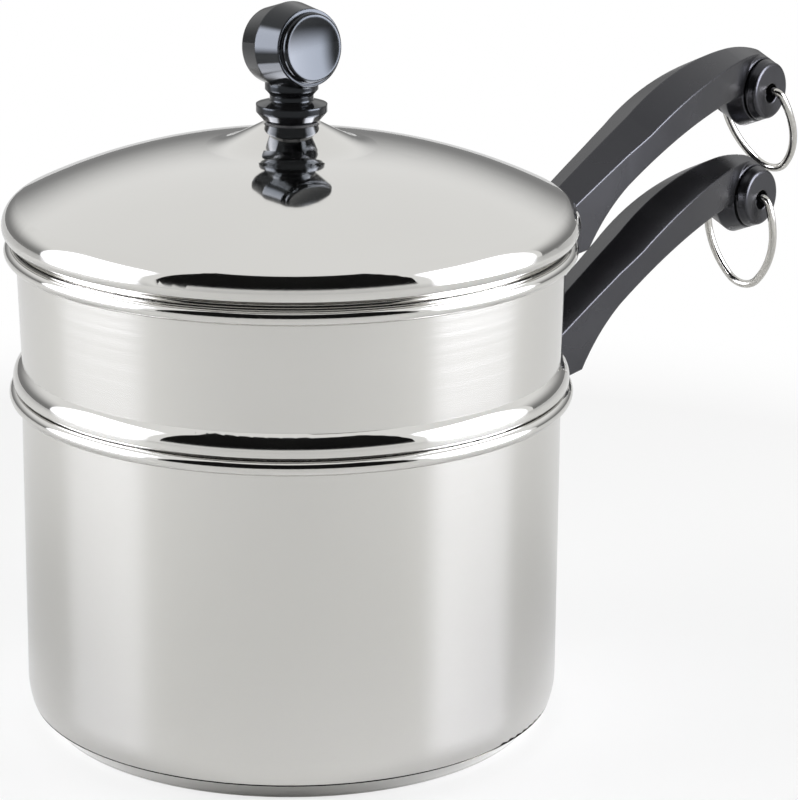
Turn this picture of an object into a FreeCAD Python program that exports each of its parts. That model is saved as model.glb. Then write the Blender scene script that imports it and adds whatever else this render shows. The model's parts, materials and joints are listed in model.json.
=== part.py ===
import FreeCAD, Part
import math
import os

# Double boiler: saucepan, insert pan and lid. Millimetres, base on the floor, handles along +X.

# Sheet, gaps and cutting
gauge = 0.8
seat_gap = 0.3
nest_gap = 0.6
fit_gap = 0.15
overrun = 2.0
full_turn = 360.0

# Saucepan
pan_radius = 80.0
pan_tuck_rise = 7.2
pan_tuck_mid_rise = 4.2
pan_tuck_mid_inset = 0.22
pan_tuck_inset = 0.9
pan_corner = 1.2
pan_rim_height = 103.5
rim_bead = 2.2

# Base under the saucepan
base_height = 5.6
base_gauge = 0.6
base_foot_inset = 6.3
base_seam_inset = 1.3
base_rim_width = 1.2
base_edge_round = 0.6

# Insert pan, measured from the step that sits on the saucepan rim
insert_wall_height = 42.6
insert_top_overhang = 0.7
insert_neck_inset = 0.25
insert_neck_rise = 6.9
insert_depth = 51.8
insert_corner = 12.0
step_overhang = 2.4
step_round = 1.0
step_bulge_rise = 4.6
step_bulge_overhang = 1.75

# Lid, measured from the ledge that sits on the insert rim
lid_ledge_overhang = 0.7
lid_edge_overhang = 3.4
lid_edge_rise = 4.75
lid_edge_round = 7.2
lid_edge_top_angle = 66.0
lid_curl = 3.7
lid_curl_angle = -80.0
lid_dome_rise = 29.35
dome_mid_radius = 62.0
dome_mid_drop = 15.05
dome_start_radius = 25.1
dome_start_drop = 6.77
hollow_radius = 21.5
hollow_drop = 6.07
flare_end_radius = 18.0
flare_end_drop = 4.77
flare_mid_radius = 13.3
flare_mid_drop = 2.47
lid_seat_radius = 8.6
lid_flange_gap = 1.0
lid_flange_depth = 5.0

# Knob
gasket_height = 0.6
gasket_radius = 7.6
knob_foot_radius = 8.0
knob_flare_radius = 10.4
knob_flare_height = 2.8
knob_collar_height = 5.0
knob_groove_radius = 6.4
knob_groove_height = 6.2
knob_neck_height = 7.8
knob_band_height = 9.4
knob_band_radius = 7.8
knob_band_top_height = 11.0
knob_ball_height = 21.8
knob_ball_radius = 13.0
knob_cone_radius = 11.2
knob_cone_reach = 9.0
knob_stub_radius = 10.1
knob_stub_reach = 11.2
knob_stub_round = 1.0
knob_dish_depth = 1.0
knob_turn_angle = -12.2
knob_tilt_angle = 5.9
knob_bush_radius = 4.0
knob_bush_length = 12.0
knob_bolt_radius = 2.5
knob_bolt_grip = 9.0
knob_bolt_head_radius = 4.6
knob_bolt_head_height = 2.8
knob_washer_radius = 6.0
knob_washer_height = 0.8

# Handles, measured out from the pan wall and up from the bracket
saucepan_bracket_drop = 27.1
saucepan_tilt_angle = 1.8
insert_bracket_rise = 14.2
insert_standoff = 2.0
handle_root = 4.0
root_bottom_drop = 10.5
heel_reach = 52.2
heel_rise = 0.8
heel_length = 10.2
heel_fall = 0.9
belly_reach = 60.0
belly_rise = 9.75
grip_reach = 72.7
grip_rise = 19.1
under_reach = 105.0
under_rise = 32.65
throat_lift = 0.1
hump_setback = 14.4
brow_reach = 109.0
brow_rise = 49.55
shoulder_reach = 83.2
shoulder_rise = 38.95
nape_reach = 60.0
nape_rise = 27.9
neck_reach = 38.0
neck_rise = 16.9
root_top_rise = 4.8
roof_fall_share = 0.483
root_half_width = 6.6
waist_reach = 72.0
waist_half_width = 9.3
palm_reach = 99.0
palm_half_width = 10.3
tip_half_width = 3.9

# Barrel end and hanging ring
barrel_reach = 152.4
barrel_rise = 38.1
barrel_radius = 9.75
barrel_mid_radius = 13.3
barrel_meet_angle = 73.0
barrel_half_length = 9.7
barrel_round = 1.2
groove_offset = 5.6
groove_width = 1.0
groove_floor_radius = 9.5
groove_outer_radius = 11.8
ring_mouth_radius = 3.4
ring_mouth_drop = 0.8
ring_mouth_depth = 4.0
ring_wire_radius = 1.35
ring_half_width = 13.65
ring_drop = 33.8
ring_shoulder_drop = 11.5
ring_corner = 3.4
ring_corner_angle = 75.0
ring_foot_round = 8.0
saucepan_ring_angle = 6.8
insert_ring_angle = 25.4
insert_ring_slide = 1.4

# Bracket and handle fixing
foot_gauge = 1.4
foot_width = 24.0
foot_height = 12.0
tongue_width = 10.0
tongue_height = 4.0
tongue_top_rise = 0.5
tongue_length = 36.0
fixing_reach = 14.5
bolt_radius = 2.5
bolt_hole_gap = 0.3
bolt_head_radius = 4.2
bolt_head_height = 2.4
washer_radius = 4.8
washer_height = 0.8
fixing_seat_drop = 6.0

# Working values
up = FreeCAD.Vector(0, 0, 1)
along = FreeCAD.Vector(1, 0, 0)
across = FreeCAD.Vector(0, 1, 0)
centre = FreeCAD.Vector(0, 0, 0)
right_angle = full_turn / 4
pan_wall_height = base_height + pan_tuck_rise
base_foot_radius = pan_radius - base_foot_inset
base_seam_radius = pan_radius - base_seam_inset
step_height = pan_rim_height + seat_gap
step_radius = pan_radius + step_overhang
step_bulge_radius = pan_radius + step_bulge_overhang
step_bulge_height = step_height + step_bulge_rise
insert_low_radius = pan_radius - gauge - nest_gap
insert_neck_radius = pan_radius - insert_neck_inset
insert_neck_height = step_height + insert_neck_rise
insert_top_radius = pan_radius + insert_top_overhang
insert_rim_height = step_height + insert_wall_height
insert_floor_height = step_height - insert_depth
ledge_height = insert_rim_height + seat_gap
lid_ledge_radius = insert_top_radius + lid_ledge_overhang
lid_edge_radius = lid_ledge_radius + lid_edge_overhang
lid_edge_height = ledge_height + lid_edge_rise
lid_top_height = lid_edge_height + lid_dome_rise
lid_flange_radius = insert_top_radius - gauge - lid_flange_gap
knob_height = lid_top_height + gasket_height
hump_reach = barrel_reach - hump_setback
tongue_low = tongue_top_rise - tongue_height


# Drawing helpers
def at(r, z):
    return FreeCAD.Vector(r, 0, z)


def polar(centre_r, centre_z, radius, angle):
    turn = math.radians(angle)
    return at(centre_r + radius * math.cos(turn), centre_z + radius * math.sin(turn))


def outline(start, *steps):
    edges = []
    here = start
    for step in steps + (start,):
        via, there = step if isinstance(step, tuple) else (None, step)
        if via:
            edges.append(Part.Arc(here, via, there).toShape())
        elif here.distanceToPoint(there) > 0:
            edges.append(Part.LineSegment(here, there).toShape())
        here = there
    return Part.Face(Part.Wire(edges))


def turned(start, *steps):
    return outline(start, *steps).revolve(centre, up, full_turn)


def disc(radius, low, high, x=0):
    return Part.makeCylinder(radius, high - low, FreeCAD.Vector(x, 0, low), up)


def cross_rod(radius, half_length, x=0, z=0):
    return Part.makeCylinder(radius, half_length * 2, FreeCAD.Vector(x, -half_length, z), across)


def slab(x_low, x_high, width, z_low, z_high):
    corner = FreeCAD.Vector(x_low, -width / 2, z_low)
    return Part.makeBox(x_high - x_low, width, z_high - z_low, corner)


def bend(centre_r, centre_z, radius, first, last):
    return polar(centre_r, centre_z, radius, (first + last) / 2), polar(centre_r, centre_z, radius, last)


def rim_neck(rim_height):
    return rim_height - rim_bead - math.sqrt(rim_bead ** 2 - (rim_bead - gauge) ** 2)


def save(name, shape):
    shape.exportStep("parts/" + name + ".step")


# Saucepan shell with a rolled rim, tucked in a little above the base
def saucepan_shell():
    inner = pan_radius - gauge
    rim_r = inner + rim_bead
    rim_z = pan_rim_height - rim_bead
    neck = rim_neck(pan_rim_height)
    bend_r = pan_radius - pan_tuck_inset - pan_corner
    bend_z = base_height + pan_corner
    tuck_r = pan_radius - pan_tuck_mid_inset
    tuck_z = base_height + pan_tuck_mid_rise
    return turned(
        at(0, base_height),
        at(bend_r, base_height),
        bend(bend_r, bend_z, pan_corner, -right_angle, 0),
        (at(tuck_r, tuck_z), at(pan_radius, pan_wall_height)),
        at(pan_radius, neck),
        (at(rim_r + rim_bead, rim_z), at(inner, rim_z)),
        at(inner, pan_wall_height),
        (at(tuck_r - gauge, tuck_z), at(bend_r + pan_corner - gauge, bend_z + gauge)),
        bend(bend_r - gauge, bend_z + gauge, pan_corner, 0, -right_angle),
        at(0, base_height + gauge))


# Heat-spreading core and the steel cap that closes over it
def base_core():
    return turned(
        at(0, base_gauge),
        at(base_foot_radius - base_edge_round - base_gauge, base_gauge),
        at(base_seam_radius - base_rim_width - base_gauge, base_height),
        at(0, base_height))


def base_cap():
    foot_r = base_foot_radius - base_edge_round
    return turned(
        at(0, 0),
        at(foot_r, 0),
        bend(foot_r, base_edge_round, base_edge_round, -right_angle, 0),
        at(base_seam_radius, base_height),
        at(base_seam_radius - base_rim_width, base_height),
        at(foot_r, base_gauge),
        at(0, base_gauge))


# Insert pan with a step that sits on the saucepan rim
def insert_pan():
    rim_r = insert_top_radius - gauge + rim_bead
    rim_z = insert_rim_height - rim_bead
    neck = rim_neck(insert_rim_height)
    low_r = insert_low_radius
    bend_r = low_r - insert_corner
    bend_z = insert_floor_height + insert_corner
    round_r = step_radius - step_round
    round_z = step_height + step_round
    return turned(
        at(0, insert_floor_height),
        at(bend_r, insert_floor_height),
        bend(bend_r, bend_z, insert_corner, -right_angle, 0),
        at(low_r, step_height),
        at(round_r, step_height),
        bend(round_r, round_z, step_round, -right_angle, 0),
        (at(step_bulge_radius, step_bulge_height), at(insert_neck_radius, insert_neck_height)),
        at(insert_top_radius, neck),
        (at(rim_r + rim_bead, rim_z), at(insert_top_radius - gauge, rim_z)),
        at(insert_neck_radius - gauge, insert_neck_height),
        (at(step_bulge_radius - gauge, step_bulge_height), at(step_radius - gauge, step_height + gauge)),
        at(low_r - gauge, step_height + gauge),
        at(low_r - gauge, bend_z),
        bend(bend_r, bend_z, insert_corner - gauge, 0, -right_angle),
        at(0, insert_floor_height + gauge))


# Lid: flared dome, rolled edge, ledge on the rim and a flange inside the mouth
def lid_shell():
    edge_r = lid_edge_radius - lid_edge_round
    edge_z = lid_edge_height
    dome_z = lid_top_height - dome_mid_drop
    start_z = lid_top_height - dome_start_drop
    hollow_z = lid_top_height - hollow_drop
    flare_z = lid_top_height - flare_end_drop
    flare_mid_z = lid_top_height - flare_mid_drop
    curl_r = lid_edge_radius - lid_curl
    inner_round = lid_edge_round - gauge
    inner_curl = lid_curl - gauge
    top_out = polar(edge_r, edge_z, lid_edge_round, lid_edge_top_angle)
    flange_in = lid_flange_radius - gauge
    flange_low = ledge_height - lid_flange_depth
    shell = turned(
        at(0, lid_top_height),
        at(lid_seat_radius, lid_top_height),
        (at(flare_mid_radius, flare_mid_z), at(flare_end_radius, flare_z)),
        (at(hollow_radius, hollow_z), at(dome_start_radius, start_z)),
        (at(dome_mid_radius, dome_z), top_out),
        bend(edge_r, edge_z, lid_edge_round, lid_edge_top_angle, 0),
        bend(curl_r, edge_z, lid_curl, 0, lid_curl_angle),
        at(lid_ledge_radius, ledge_height),
        at(lid_flange_radius, ledge_height),
        at(lid_flange_radius, flange_low),
        at(flange_in, flange_low),
        at(flange_in, ledge_height + gauge),
        at(lid_ledge_radius - gauge / 2, ledge_height + gauge),
        polar(curl_r, edge_z, inner_curl, lid_curl_angle),
        bend(curl_r, edge_z, inner_curl, lid_curl_angle, 0),
        bend(edge_r, edge_z, inner_round, 0, lid_edge_top_angle),
        (at(dome_mid_radius, dome_z - gauge), at(dome_start_radius, start_z - gauge)),
        (at(hollow_radius, hollow_z - gauge), at(flare_end_radius, flare_z - gauge)),
        (at(flare_mid_radius, flare_mid_z - gauge), at(lid_seat_radius, lid_top_height - gauge)),
        at(0, lid_top_height - gauge))
    return shell.cut(disc(knob_bolt_radius + fit_gap, lid_top_height - gauge - overrun, lid_top_height + overrun))


# Knob: turned foot under a drum with dished ends that lies across the handles
def knob_foot():
    z = knob_height
    return turned(
        at(0, z),
        at(knob_foot_radius, z),
        at(knob_flare_radius, z + knob_flare_height),
        at(knob_flare_radius, z + knob_collar_height),
        at(knob_groove_radius, z + knob_groove_height),
        at(knob_groove_radius, z + knob_neck_height),
        at(knob_band_radius, z + knob_band_height),
        at(knob_band_radius, z + knob_band_top_height),
        at(knob_groove_radius, z + knob_ball_height),
        at(0, z + knob_ball_height))


def knob_drum():
    dish_r = knob_stub_radius - knob_stub_round
    round_z = knob_stub_reach - knob_stub_round
    bowl_r = (dish_r ** 2 + knob_dish_depth ** 2) / knob_dish_depth / 2
    bowl_z = knob_stub_reach - knob_dish_depth + bowl_r
    drum = turned(
        at(0, -knob_stub_reach),
        at(dish_r, -knob_stub_reach),
        bend(dish_r, -round_z, knob_stub_round, -right_angle, 0),
        at(knob_stub_radius, -knob_cone_reach),
        at(knob_cone_radius, -knob_cone_reach),
        at(knob_ball_radius, 0),
        at(knob_cone_radius, knob_cone_reach),
        at(knob_stub_radius, knob_cone_reach),
        at(knob_stub_radius, round_z),
        bend(dish_r, round_z, knob_stub_round, 0, right_angle),
        at(0, knob_stub_reach))
    for side in (-1, 1):
        drum = drum.cut(Part.makeSphere(bowl_r, at(0, side * bowl_z), along))
    drum.rotate(centre, along, right_angle - knob_tilt_angle)
    drum.rotate(centre, up, knob_turn_angle)
    drum.translate(at(0, knob_height + knob_ball_height))
    return drum


def lid_knob():
    knob = knob_foot().fuse(knob_drum()).removeSplitter()
    return knob.cut(disc(knob_bush_radius, knob_height - overrun, knob_height + knob_bush_length))


def knob_bush():
    bush = disc(knob_bush_radius, knob_height, knob_height + knob_bush_length)
    return bush.cut(disc(knob_bolt_radius, knob_height - overrun, knob_height + knob_bolt_grip))


def knob_gasket():
    ring = disc(gasket_radius, lid_top_height, knob_height)
    return ring.cut(disc(knob_bolt_radius + fit_gap, lid_top_height - overrun, knob_height + overrun))


def knob_washer():
    top = lid_top_height - gauge
    ring = disc(knob_washer_radius, top - knob_washer_height, top)
    return ring.cut(disc(knob_bolt_radius + fit_gap, top - knob_washer_height - overrun, top + overrun))


def knob_bolt():
    seat = lid_top_height - gauge - knob_washer_height
    head = disc(knob_bolt_head_radius, seat - knob_bolt_head_height, seat)
    return head.fuse(disc(knob_bolt_radius, seat - overrun, knob_height + knob_bolt_grip)).removeSplitter()


# Handle: peaked grip with a heel, ending in a cross barrel for the ring
def handle_side():
    fall = right_angle - barrel_meet_angle
    meet = polar(barrel_reach, barrel_rise, barrel_mid_radius, barrel_meet_angle)
    hump_radius = (meet.x - hump_reach) / math.sin(math.radians(fall))
    hump_centre = meet.z - hump_radius * math.cos(math.radians(fall))
    hump = bend(hump_reach, hump_centre, hump_radius, barrel_meet_angle, right_angle)
    return outline(
        at(handle_root, -root_bottom_drop),
        at(heel_reach - heel_length, heel_rise - heel_fall),
        at(heel_reach, heel_rise),
        (at(belly_reach, belly_rise), at(grip_reach, grip_rise)),
        (at(under_reach, under_rise), at(barrel_reach - barrel_radius, barrel_rise + throat_lift)),
        at(barrel_reach, barrel_rise),
        meet,
        hump,
        (at(brow_reach, brow_rise), at(shoulder_reach, shoulder_rise)),
        (at(nape_reach, nape_rise), at(neck_reach, neck_rise)),
        at(handle_root, root_top_rise))


def handle_plan(low, high):
    right = [
        FreeCAD.Vector(handle_root, root_half_width, low),
        FreeCAD.Vector(waist_reach, waist_half_width, low),
        FreeCAD.Vector(palm_reach, palm_half_width, low),
        FreeCAD.Vector(barrel_reach, tip_half_width, low),
        FreeCAD.Vector(barrel_reach + barrel_mid_radius, tip_half_width, low)]
    left = [FreeCAD.Vector(p.x, -p.y, low) for p in right]
    face = outline(
        right[0], right[1], (right[2], right[3]), right[4], left[4], left[3], (left[2], left[1]), left[0])
    return face.extrude(up * (high - low))


def handle_grip():
    side = handle_side()
    box = side.BoundBox
    reach = palm_half_width + overrun
    fall = up * (-roof_fall_share * reach)
    roof = side.extrude(across * reach + fall).fuse(side.extrude(across * -reach + fall))
    side.translate(across * -reach)
    straight = side.extrude(across * (reach * 2))
    plan = handle_plan(box.ZMin - overrun, box.ZMax + overrun)
    return roof.common(straight).common(plan).removeSplitter()


def ring_barrel():
    lip_r = barrel_radius - barrel_round
    lip_z = barrel_half_length - barrel_round
    drum = turned(
        at(0, -barrel_half_length),
        at(lip_r, -barrel_half_length),
        bend(lip_r, -lip_z, barrel_round, -right_angle, 0),
        at(barrel_mid_radius, 0),
        at(barrel_radius, lip_z),
        bend(lip_r, lip_z, barrel_round, 0, right_angle),
        at(0, barrel_half_length))
    drum.rotate(centre, along, right_angle)
    drum.translate(at(barrel_reach, barrel_rise))
    return drum


def barrel_grooves():
    core = cross_rod(groove_floor_radius, barrel_half_length)
    bands = []
    for side in (-1, 1):
        start = FreeCAD.Vector(0, side * groove_offset, 0)
        bands.append(Part.makeCylinder(groove_outer_radius, groove_width, start, across * side).cut(core))
    grooves = Part.makeCompound(bands)
    grooves.translate(at(barrel_reach, barrel_rise))
    return grooves


def ring_hole():
    hole = cross_rod(ring_wire_radius + seat_gap, barrel_half_length + overrun)
    for side in (-1, 1):
        start = FreeCAD.Vector(0, side * (barrel_half_length - ring_mouth_depth), -ring_mouth_drop)
        mouth = Part.makeCylinder(ring_mouth_radius, ring_mouth_depth + overrun, start, across * side)
        hole = hole.fuse(mouth)
    hole.translate(at(barrel_reach, barrel_rise))
    return hole


def handle():
    seat = tongue_low - fit_gap
    slot = slab(handle_root - overrun, tongue_length + fit_gap, tongue_width + fit_gap * 2, seat,
                tongue_top_rise + fit_gap)
    bore = disc(bolt_radius + bolt_hole_gap, -root_bottom_drop - overrun, seat + overrun, fixing_reach)
    recess_r = max(washer_radius, bolt_head_radius) + fit_gap
    recess = disc(recess_r, -root_bottom_drop - overrun, -fixing_seat_drop, fixing_reach)
    body = handle_grip().fuse(ring_barrel()).cut(barrel_grooves()).cut(ring_hole())
    return body.cut(slot).cut(bore).cut(recess)


def handle_washer():
    low = -fixing_seat_drop - washer_height
    ring = disc(washer_radius, low, -fixing_seat_drop, fixing_reach)
    return ring.cut(disc(bolt_radius + fit_gap, low - overrun, overrun, fixing_reach))


def handle_bolt():
    seat = -fixing_seat_drop - washer_height
    head = disc(bolt_head_radius, seat - bolt_head_height, seat, fixing_reach)
    return head.fuse(disc(bolt_radius, seat - overrun, tongue_top_rise, fixing_reach)).removeSplitter()


# Hanging ring: one bent wire whose straight top runs through the barrel
def ring_half():
    def arc(centre_y, centre_z, radius, first, last):
        via, end = bend(centre_y, centre_z, radius, first, last)
        return Part.Arc(polar(centre_y, centre_z, radius, first), via, end).toShape()
    turn = math.radians(ring_corner_angle)
    level = right_angle - ring_corner_angle
    shoulder_r = (ring_shoulder_drop - ring_corner * (1 - math.cos(turn))) / math.cos(turn)
    shoulder_y = ring_half_width - shoulder_r
    pin = shoulder_y + (shoulder_r - ring_corner) * math.sin(turn)
    foot_z = ring_foot_round - ring_drop
    rise = foot_z + ring_shoulder_drop
    side_r = (ring_half_width ** 2 + rise ** 2 - ring_foot_round ** 2) / (ring_half_width - ring_foot_round) / 2
    swing = math.degrees(math.atan2(rise, side_r - ring_half_width))
    return [
        Part.LineSegment(at(0, 0), at(pin, 0)).toShape(),
        arc(pin, -ring_corner, ring_corner, right_angle, level),
        arc(shoulder_y, -ring_shoulder_drop, shoulder_r, level, 0),
        arc(ring_half_width - side_r, -ring_shoulder_drop, side_r, 0, swing),
        arc(0, foot_z, ring_foot_round, swing, -right_angle)]


def hanging_ring(lean, slide):
    half = ring_half()
    other = [edge.mirror(centre, along) for edge in half]
    path = Part.Wire(Part.sortEdges(half + other)[0])
    wire = Part.Wire(Part.makeCircle(ring_wire_radius, centre, along))
    ring = path.makePipeShell([wire], True, True)
    ring.rotate(centre, up, right_angle)
    ring.rotate(centre, across, -lean)
    ring.translate(at(barrel_reach, barrel_rise) - across * slide)
    return ring


# Bracket: a foot on the wall and a tongue that goes into the handle
def wall_core(low_radius, low, high_radius, high, extra=0):
    return turned(at(0, low), at(low_radius + extra, low), at(high_radius + extra, high), at(0, high))


def bracket(place, wall):
    foot = slab(-pan_radius / 2, foot_gauge + overrun, foot_width, -foot_height / 2, foot_height / 2)
    tongue = slab(-pan_radius / 2, tongue_length, tongue_width, tongue_low, tongue_top_rise)
    tongue = tongue.cut(disc(bolt_radius, tongue_low - overrun, tongue_top_rise + overrun, fixing_reach))
    pad = place(foot).common(wall_core(*wall, foot_gauge))
    return pad.fuse(place(tongue)).cut(wall_core(*wall)).removeSplitter()


def placed(standoff, height, tilt):
    def place(shape):
        copy = shape.copy()
        copy.rotate(centre, across, -tilt)
        copy.translate(at(pan_radius + standoff, height))
        return copy
    return place


def handle_set(name, place, wall, lean, slide):
    save(name + "_bracket", bracket(place, wall))
    save(name + "_handle", place(handle()))
    save(name + "_handle_screw", place(handle_bolt()))
    save(name + "_handle_washer", place(handle_washer()))
    save(name + "_ring", place(hanging_ring(lean, slide)))


# Write every piece
os.makedirs("parts", exist_ok=True)
save("saucepan_shell", saucepan_shell())
save("base_core", base_core())
save("base_cap", base_cap())
save("insert_pan", insert_pan())
save("lid_shell", lid_shell())
save("lid_knob", lid_knob())
save("knob_bush", knob_bush())
save("knob_gasket", knob_gasket())
save("knob_washer", knob_washer())
save("knob_screw", knob_bolt())
pan_wall = (pan_radius, pan_wall_height, pan_radius, rim_neck(pan_rim_height))
insert_wall = (insert_neck_radius, insert_neck_height, insert_top_radius, rim_neck(insert_rim_height))
pan_place = placed(0, pan_rim_height - saucepan_bracket_drop, saucepan_tilt_angle)
insert_place = placed(insert_standoff, step_height + insert_bracket_rise, 0)
handle_set("saucepan", pan_place, pan_wall, saucepan_ring_angle, 0)
handle_set("insert", insert_place, insert_wall, insert_ring_angle, insert_ring_slide)
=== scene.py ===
import json
import math

import bpy
from mathutils import Matrix, Vector

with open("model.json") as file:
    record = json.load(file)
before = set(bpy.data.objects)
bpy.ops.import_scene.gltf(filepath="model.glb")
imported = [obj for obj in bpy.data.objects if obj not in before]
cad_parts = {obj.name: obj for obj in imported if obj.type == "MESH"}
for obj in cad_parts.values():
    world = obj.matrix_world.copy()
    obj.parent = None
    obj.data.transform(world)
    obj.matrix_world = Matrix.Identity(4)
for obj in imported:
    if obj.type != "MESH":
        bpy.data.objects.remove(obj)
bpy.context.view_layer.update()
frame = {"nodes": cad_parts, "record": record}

nodes = frame["nodes"]
scene = bpy.context.scene
scene.view_settings.view_transform = "Standard"

# Units: lengths are metres, but the lens and its sensor are millimetres; texture scales are per metre
# Pairs: a size is a width and a height, and any other pair of numbers is where a range starts and ends

# Shared values
WHITE = (1.0, 1.0, 1.0)
BLACK = (0.0, 0.0, 0.0)
FULL_RANGE = (0.0, 1.0)
NOISE_RANGE = (0.3, 0.7)
NOISE_DETAIL = 3.0
QUARTER_TURN = 0.25

# Sockets of a Mix node that mixes colours
MIX_FACTOR = 0
MIX_FIRST = 6
MIX_SECOND = 7
MIX_RESULT = 2

# Polished steel of the pans and the lid
STEEL_TONES = ((0.645, 0.638, 0.615), (0.665, 0.658, 0.635))
STEEL_CLOUD_SCALE = 14.0
SPUN_SCALE = 900.0
SPUN_DETAIL = 4.0
SPUN_BUMP = 0.05
SPUN_DEPTH = 0.00002
WALL_ROUGHNESS = (0.105, 0.138)
BUFFED_ROUGHNESS = 0.04
WALL_TO_BUFFED_SLOPE = (0.1, 0.35)

# Plain metals: two tones, the roughness and the scale of the grain
PLAIN_METALS = {
    "ring_wire": (((0.50, 0.49, 0.46), (0.57, 0.56, 0.53)), (0.08, 0.16), 900.0),
    "bracket_steel": (((0.5, 0.5, 0.49), (0.6, 0.6, 0.59)), (0.25, 0.4), 1500.0),
    "core_aluminium": (((0.7, 0.7, 0.71), (0.8, 0.8, 0.81)), (0.35, 0.5), 1200.0),
    "bush_brass": (((0.7, 0.52, 0.22), (0.8, 0.62, 0.3)), (0.2, 0.35), 1500.0),
}
GRAIN_BUMP = 0.1
GRAIN_DEPTH = 0.00002

# Black phenolic, glossy on the knob and satin on the handles; its reflections get a painted bluish tint that
# stands in for the bluish lamp light
PHENOLIC_TONES = ((0.004, 0.004, 0.0045), (0.008, 0.008, 0.0085))
PHENOLIC_CLOUD_SCALE = 40.0
PEEL_SCALE = 500.0
PEEL_BUMP = 0.03
PEEL_DEPTH = 0.00004
EDGE_RADIUS = 0.0008
EDGE_SAMPLES = 8
KNOB_IOR = 1.38
KNOB_ROUGHNESS = (0.05, 0.09)
# Painted reflection colour: a bluish tint on the knob's reflections, standing in for the bluish window light
KNOB_PAINTED_REFLECTION_TINT = (0.84, 0.92, 1.0)
HANDLE_IOR = 1.52
HANDLE_ROUGHNESS = (0.23, 0.29)
# Painted reflection colour: a bluish tint on the handles' reflections, standing in for the bluish window
# light
HANDLE_PAINTED_REFLECTION_TINT = (0.9, 0.91, 1.0)
HANDLES = ("saucepan_handle", "insert_handle")

# Fibre gasket
FIBRE_TONES = ((0.03, 0.03, 0.03), (0.08, 0.08, 0.08))
FIBRE_SCALE = 2500.0
FIBRE_DETAIL = 6.0
FIBRE_ROUGHNESS = 0.85
FIBRE_BUMP = 0.4
FIBRE_DEPTH = 0.0001

# Floor, which runs out into white between two radii
FLOOR_HALF = 4.0
FLOOR_CORNERS = ((-1, -1), (1, -1), (1, 1), (-1, 1))
FLOOR_TONES = ((0.79, 0.79, 0.79), (0.8, 0.8, 0.8))
FLOOR_CLOUD_SCALE = 3.0
FLOOR_ROUGHNESS = 0.2
FLOOR_IOR = 1.04
WHITE_RADII = (0.12, 0.45)
WHITE_NEAR_SHARE = 0.75
WHITE_REFLECTED_SHARE = 0.55

# Cards round the set, by azimuth and elevation in degrees
CARD_STEPS = 24
DARK_COLOUR = (0.03, 0.03, 0.03)
DARK_AZIMUTHS = (-53, 49)
DARK_ELEVATIONS = (8, 67)
DARK_DISTANCE = 2.4
BACK_AZIMUTHS = (112, 248)
BACK_ELEVATIONS = (0.5, 34)
BACK_DISTANCE = 2.6
BACK_HEIGHTS = (0.23, 1.3)
BACK_GLOW = (0.25, 1.0)

# Lamps, two on each side: a shade that lights the set, and nearer than it a window that shows in gloss
# They fade from their middle outwards, over shares of their width and height
SHADE_SIZE = (0.85, 0.95)
SHADE_DISTANCE = 0.8
SHADE_FADE_SHARES = (0.05, 0.55)
SHADE_COLOUR = (1.0, 1.0, 0.99)
WINDOW_SIZE = (0.78, 0.85)
WINDOW_DISTANCE = 0.78
WINDOW_FADE_SHARES = (0.24, 0.52)
WINDOW_COLOUR = (0.95, 0.96, 1.06)
LAMP_MIDDLE_SHARE = 0.5
LEFT_AZIMUTH = -83
LEFT_SHADE_RADIANCE = 10.3
LEFT_WINDOW_RADIANCE = 12.5
RIGHT_AZIMUTH = 79
RIGHT_SHADE_RADIANCE = 9.7
RIGHT_WINDOW_RADIANCE = 17.5

# World: the strength that lights the set, and the strength that the camera and reflections see
SKY_STRENGTHS = (0.16, 1.0)

# Camera: its place and angles are in axes that VIEW_TURN turns about Z to the part's
VIEW_TURN = Matrix.Rotation(math.radians(-48.0), 3, "Z")
CAMERA_PLACE = Vector((0.0, -0.96221, 0.38684))
CAMERA_YAW = math.radians(1.8997)
CAMERA_PITCH = math.radians(16.789)
CAMERA_ROLL = math.radians(0.4836)
CAMERA_LENS = 151.63
CAMERA_SENSOR = 36.0
CAMERA_REACH = 20.0


# Node helpers
def opaque(colour):
    return (*colour, 1.0)


def fill(tree, node, values):
    """Set each named input of a node: a socket is linked to it, and a plain value is stored in it."""
    for key, value in values.items():
        if isinstance(value, bpy.types.NodeSocket):
            tree.links.new(value, node.inputs[key])
        else:
            node.inputs[key].default_value = value


def add(tree, kind, values, **settings):
    node = tree.nodes.new(kind)
    for name, value in settings.items():
        setattr(node, name, value)
    fill(tree, node, values)
    return node


def new_material(name):
    material = bpy.data.materials.new(name)
    material.use_nodes = True
    tree = material.node_tree
    return material, tree, tree.nodes["Principled BSDF"]


def calculate(tree, operation, first, second=0.0):
    return add(tree, "ShaderNodeMath", {0: first, 1: second}, operation=operation).outputs[0]


def remap(tree, value, new, old=NOISE_RANGE, interpolation="LINEAR"):
    limits = {"From Min": old[0], "From Max": old[1], "To Min": new[0], "To Max": new[1]}
    node = add(tree, "ShaderNodeMapRange", {"Value": value, **limits}, interpolation_type=interpolation)
    return node.outputs["Result"]


def coordinates(tree, kind="Object"):
    return add(tree, "ShaderNodeTexCoord", {}).outputs[kind]


def split(tree, vector):
    return add(tree, "ShaderNodeSeparateXYZ", {"Vector": vector}).outputs


def noise(tree, vector, scale, detail=NOISE_DETAIL):
    node = add(tree, "ShaderNodeTexNoise", {"Vector": vector, "Scale": scale, "Detail": detail})
    return node.outputs["Fac"]


def two_tone(tree, marks, tones):
    dark, light = tones
    factor = remap(tree, marks, FULL_RANGE)
    values = {MIX_FACTOR: factor, MIX_FIRST: opaque(dark), MIX_SECOND: opaque(light)}
    return add(tree, "ShaderNodeMix", values, data_type="RGBA").outputs[MIX_RESULT]


def bump(tree, height, strength, depth):
    return add(tree, "ShaderNodeBump", {"Height": height, "Strength": strength, "Distance": depth})


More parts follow.
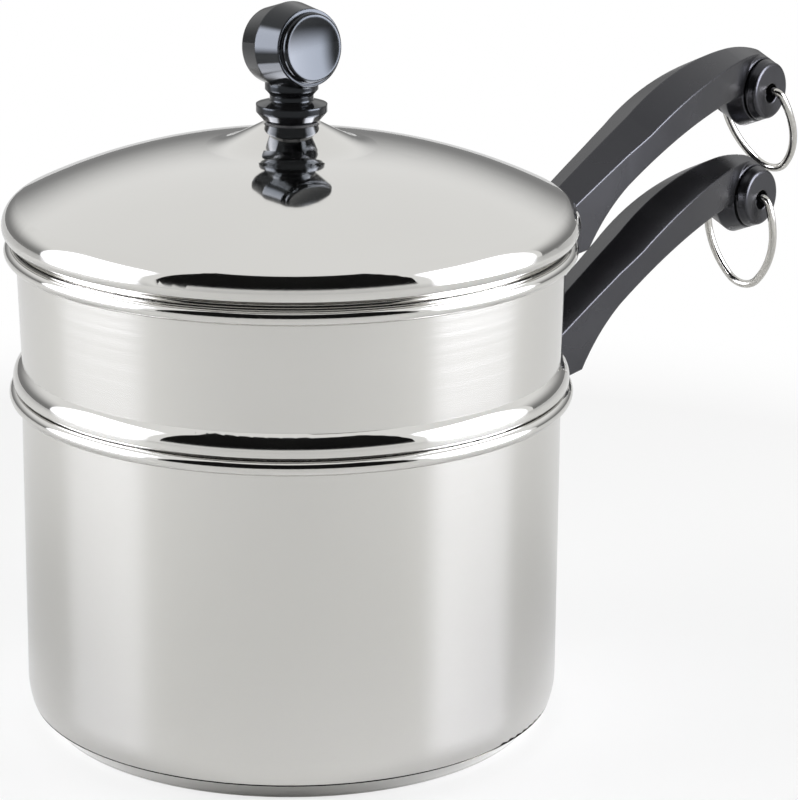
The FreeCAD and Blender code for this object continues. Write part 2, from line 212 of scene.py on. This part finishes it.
def spun_lines(tree):
    """Fine rings left by spinning and polishing: they depend only on radius and height."""
    spot = split(tree, coordinates(tree))
    squares = [calculate(tree, "MULTIPLY", spot[axis], spot[axis]) for axis in ("X", "Y")]
    radius = calculate(tree, "SQRT", calculate(tree, "ADD", *squares))
    rings = add(tree, "ShaderNodeCombineXYZ", {"X": radius, "Z": spot["Z"]})
    return noise(tree, rings.outputs[0], SPUN_SCALE, SPUN_DETAIL)


# Materials of the part
def polished_steel(name):
    """Spun sheet: fine rings spread a reflection along the walls' height, and slopes and edges are buffed."""
    material, tree, shader = new_material(name)
    lines = spun_lines(tree)
    cloud = noise(tree, coordinates(tree), STEEL_CLOUD_SCALE)
    slope = calculate(tree, "ABSOLUTE", split(tree, coordinates(tree, "Normal"))["Z"])
    polish = (remap(tree, lines, WALL_ROUGHNESS), BUFFED_ROUGHNESS)
    fill(tree, shader, {
        "Base Color": two_tone(tree, cloud, STEEL_TONES),
        "Metallic": 1.0,
        "Roughness": remap(tree, slope, polish, WALL_TO_BUFFED_SLOPE),
        "Anisotropic": 1.0,
        "Anisotropic Rotation": QUARTER_TURN,
        "Normal": bump(tree, lines, SPUN_BUMP, SPUN_DEPTH).outputs["Normal"],
    })
    return material


def plain_metal(name, tones, roughness, grain):
    material, tree, shader = new_material(name)
    marks = noise(tree, coordinates(tree), grain)
    fill(tree, shader, {
        "Base Color": two_tone(tree, marks, tones),
        "Metallic": 1.0,
        "Roughness": remap(tree, marks, roughness),
        "Normal": bump(tree, marks, GRAIN_BUMP, GRAIN_DEPTH).outputs["Normal"],
    })
    return material


def black_phenolic(name, ior, roughness, painted_reflection_tint):
    """Moulding with a faint orange peel and softened edges, whose reflections carry a painted bluish tint in
    place of the bluish lamp light.
    """
    material, tree, shader = new_material(name)
    peel = noise(tree, coordinates(tree), PEEL_SCALE)
    cloud = noise(tree, coordinates(tree), PHENOLIC_CLOUD_SCALE)
    edges = add(tree, "ShaderNodeBevel", {"Radius": EDGE_RADIUS}, samples=EDGE_SAMPLES)
    skin = bump(tree, peel, PEEL_BUMP, PEEL_DEPTH)
    fill(tree, skin, {"Normal": edges.outputs["Normal"]})
    fill(tree, shader, {
        "Base Color": two_tone(tree, cloud, PHENOLIC_TONES),
        "Roughness": remap(tree, cloud, roughness),
        "IOR": ior,
        # Painted reflection colour: the specular tint turns the reflections bluish
        "Specular Tint": opaque(painted_reflection_tint),
        "Normal": skin.outputs["Normal"],
    })
    return material


def gasket_fibre(name):
    material, tree, shader = new_material(name)
    fibre = noise(tree, coordinates(tree), FIBRE_SCALE, FIBRE_DETAIL)
    fill(tree, shader, {
        "Base Color": two_tone(tree, fibre, FIBRE_TONES),
        "Roughness": FIBRE_ROUGHNESS,
        "Normal": bump(tree, fibre, FIBRE_BUMP, FIBRE_DEPTH).outputs["Normal"],
    })
    return material


# Materials of the set
def seen_directly(tree):
    """1 for camera, glossy and transmission rays, 0 for the rays that light the set."""
    path = add(tree, "ShaderNodeLightPath", {}).outputs
    shown = calculate(tree, "MAXIMUM", path["Is Camera Ray"], path["Is Glossy Ray"])
    return calculate(tree, "MAXIMUM", shown, path["Is Transmission Ray"])


def white_floor(name):
    """Pale floor that keeps a faint shadow near the object and runs out into white."""
    material, tree, shader = new_material(name)
    cloud = noise(tree, coordinates(tree), FLOOR_CLOUD_SCALE)
    fill(tree, shader, {
        "Base Color": two_tone(tree, cloud, FLOOR_TONES),
        "Roughness": FLOOR_ROUGHNESS,
        "IOR": FLOOR_IOR,
    })
    radius = add(tree, "ShaderNodeVectorMath", {0: coordinates(tree)}, operation="LENGTH").outputs["Value"]
    outward = remap(tree, radius, FULL_RANGE, WHITE_RADII, "SMOOTHSTEP")
    direct = add(tree, "ShaderNodeLightPath", {}).outputs["Is Camera Ray"]
    most = remap(tree, direct, (WHITE_REFLECTED_SHARE, 1.0), FULL_RANGE)
    shown = calculate(tree, "MULTIPLY", most, seen_directly(tree))
    far = calculate(tree, "MULTIPLY", outward, shown)
    near = calculate(tree, "MULTIPLY", direct, WHITE_NEAR_SHARE)
    share = calculate(tree, "MAXIMUM", far, near)
    white = add(tree, "ShaderNodeEmission", {"Strength": 1.0})
    mix = add(tree, "ShaderNodeMixShader", {0: share, 1: shader.outputs[0], 2: white.outputs[0]})
    fill(tree, tree.nodes["Material Output"], {"Surface": mix.outputs[0]})
    return material


def card(name, colour):
    material, tree, shader = new_material(name)
    fill(tree, shader, {"Base Color": opaque(colour), "Roughness": 1.0, "Specular IOR Level": 0.0})
    return material


def glow_card(name, heights, glow):
    """A card that gives light by itself, dim at its foot and bright at its top."""
    material, tree, shader = new_material(name)
    height = split(tree, coordinates(tree))["Z"]
    fill(tree, shader, {
        "Base Color": opaque(BLACK),
        "Specular IOR Level": 0.0,
        "Emission Color": opaque(WHITE),
        "Emission Strength": remap(tree, height, glow, heights, "SMOOTHSTEP"),
    })
    return material


# Studio
def towards(azimuth, elevation):
    """Unit vector: azimuth 0 is towards the camera, positive to the viewer's right."""
    round_angle = math.radians(azimuth)
    rise_angle = math.radians(elevation)
    right = math.sin(round_angle) * math.cos(rise_angle)
    away = -math.cos(round_angle) * math.cos(rise_angle)
    return VIEW_TURN @ Vector((right, away, math.sin(rise_angle)))


def stage_mesh(name, points, faces, material):
    mesh = bpy.data.meshes.new(name)
    mesh.from_pydata(points, [], faces)
    mesh.materials.append(material)
    piece = bpy.data.objects.new(name, mesh)
    scene.collection.objects.link(piece)
    return piece


def card_angles(limits):
    start, end = limits
    return [start + (end - start) * step / CARD_STEPS for step in range(CARD_STEPS + 1)]


def screen(name, azimuths, elevations, distance, material):
    """A curved card round the set, seen only in reflections and shade."""
    points = [towards(azimuth, elevation) * distance
              for azimuth in card_angles(azimuths) for elevation in card_angles(elevations)]
    row = CARD_STEPS + 1
    corners = [column * row + level for column in range(CARD_STEPS) for level in range(CARD_STEPS)]
    faces = [(corner, corner + 1, corner + row + 1, corner + row) for corner in corners]
    piece = stage_mesh(name, points, faces, material)
    piece.visible_camera = False


def softbox(name, azimuth, size, distance, radiance, fade, colour):
    """A lamp standing on the floor, as bright as stated at its middle and softer towards its edges."""
    width, height = size
    lamp = bpy.data.lights.new(name, "AREA")
    lamp.shape = "RECTANGLE"
    lamp.size = width
    lamp.size_y = height
    lamp.color = colour
    lamp.energy = radiance * math.pi * width * height
    lamp.use_nodes = True
    tree = lamp.node_tree
    spot = split(tree, add(tree, "ShaderNodeNewGeometry", {}).outputs["Parametric"])
    fades = []
    for axis in ("X", "Y"):
        offset = calculate(tree, "SUBTRACT", spot[axis], LAMP_MIDDLE_SHARE)
        fades.append(remap(tree, calculate(tree, "ABSOLUTE", offset), (1.0, 0.0), fade, "SMOOTHSTEP"))
    fill(tree, tree.nodes["Emission"], {"Strength": calculate(tree, "MULTIPLY", *fades)})
    box = bpy.data.objects.new(name, lamp)
    box.location = towards(azimuth, 0) * distance + Vector((0, 0, height / 2))
    aim = Vector((0, 0, box.location.z)) - box.location
    box.rotation_euler = aim.to_track_quat("-Z", "Y").to_euler()
    box.visible_camera = False
    scene.collection.objects.link(box)
    return box


def lamp_pair(end, azimuth, shade_radiance, window_radiance):
    shade = softbox(end + "_softbox", azimuth, SHADE_SIZE, SHADE_DISTANCE, shade_radiance,
                    SHADE_FADE_SHARES, SHADE_COLOUR)
    shade.visible_glossy = False
    window = softbox(end + "_window", azimuth, WINDOW_SIZE, WINDOW_DISTANCE, window_radiance,
                     WINDOW_FADE_SHARES, WINDOW_COLOUR)
    window.visible_diffuse = False


def studio_world():
    world = bpy.data.worlds.new("studio")
    world.use_nodes = True
    tree = world.node_tree
    strength = remap(tree, seen_directly(tree), SKY_STRENGTHS, FULL_RANGE)
    fill(tree, tree.nodes["Background"], {"Color": opaque(WHITE), "Strength": strength})
    return world


def photo_camera():
    lens = bpy.data.cameras.new("camera")
    lens.sensor_fit = "VERTICAL"
    lens.sensor_height = CAMERA_SENSOR
    lens.lens = CAMERA_LENS
    lens.clip_end = CAMERA_REACH
    camera = bpy.data.objects.new("camera", lens)
    scene.collection.objects.link(camera)
    ahead = Vector((math.sin(CAMERA_YAW), math.cos(CAMERA_YAW), 0))
    forward = ahead * math.cos(CAMERA_PITCH) - Vector((0, 0, math.sin(CAMERA_PITCH)))
    level = Vector((math.cos(CAMERA_YAW), -math.sin(CAMERA_YAW), 0))
    upward = level.cross(forward)
    side = level * math.cos(CAMERA_ROLL) + upward * math.sin(CAMERA_ROLL)
    top = upward * math.cos(CAMERA_ROLL) - level * math.sin(CAMERA_ROLL)
    axes = Matrix([VIEW_TURN @ side, VIEW_TURN @ top, VIEW_TURN @ -forward]).transposed()
    camera.matrix_world = Matrix.Translation(VIEW_TURN @ CAMERA_PLACE) @ axes.to_4x4()
    return camera


# Finishes for the record's material slots, and the handles' own
finishes = {
    "polished_steel": polished_steel("polished_steel"),
    "black_phenolic": black_phenolic("black_phenolic", KNOB_IOR, KNOB_ROUGHNESS, KNOB_PAINTED_REFLECTION_TINT),
    "gasket_fibre": gasket_fibre("gasket_fibre"),
}
for slot, values in PLAIN_METALS.items():
    finishes[slot] = plain_metal(slot, *values)
satin = black_phenolic("satin_phenolic", HANDLE_IOR, HANDLE_ROUGHNESS, HANDLE_PAINTED_REFLECTION_TINT)
for part in frame["record"]["subparts"]:
    mesh = nodes[part["node"]].data
    mesh.materials.clear()
    mesh.materials.append(satin if part["node"] in HANDLES else finishes[part["material_slot"]])

# Set
floor_points = [(x * FLOOR_HALF, y * FLOOR_HALF, 0) for x, y in FLOOR_CORNERS]
stage_mesh("floor", floor_points, [(0, 1, 2, 3)], white_floor("white_floor"))
dark_card = card("dark_end", DARK_COLOUR)
screen("dark_end", DARK_AZIMUTHS, DARK_ELEVATIONS, DARK_DISTANCE, dark_card)
back_card = glow_card("grey_back", BACK_HEIGHTS, BACK_GLOW)
screen("grey_back", BACK_AZIMUTHS, BACK_ELEVATIONS, BACK_DISTANCE, back_card)
lamp_pair("left", LEFT_AZIMUTH, LEFT_SHADE_RADIANCE, LEFT_WINDOW_RADIANCE)
lamp_pair("right", RIGHT_AZIMUTH, RIGHT_SHADE_RADIANCE, RIGHT_WINDOW_RADIANCE)
scene.world = studio_world()
scene.camera = photo_camera()
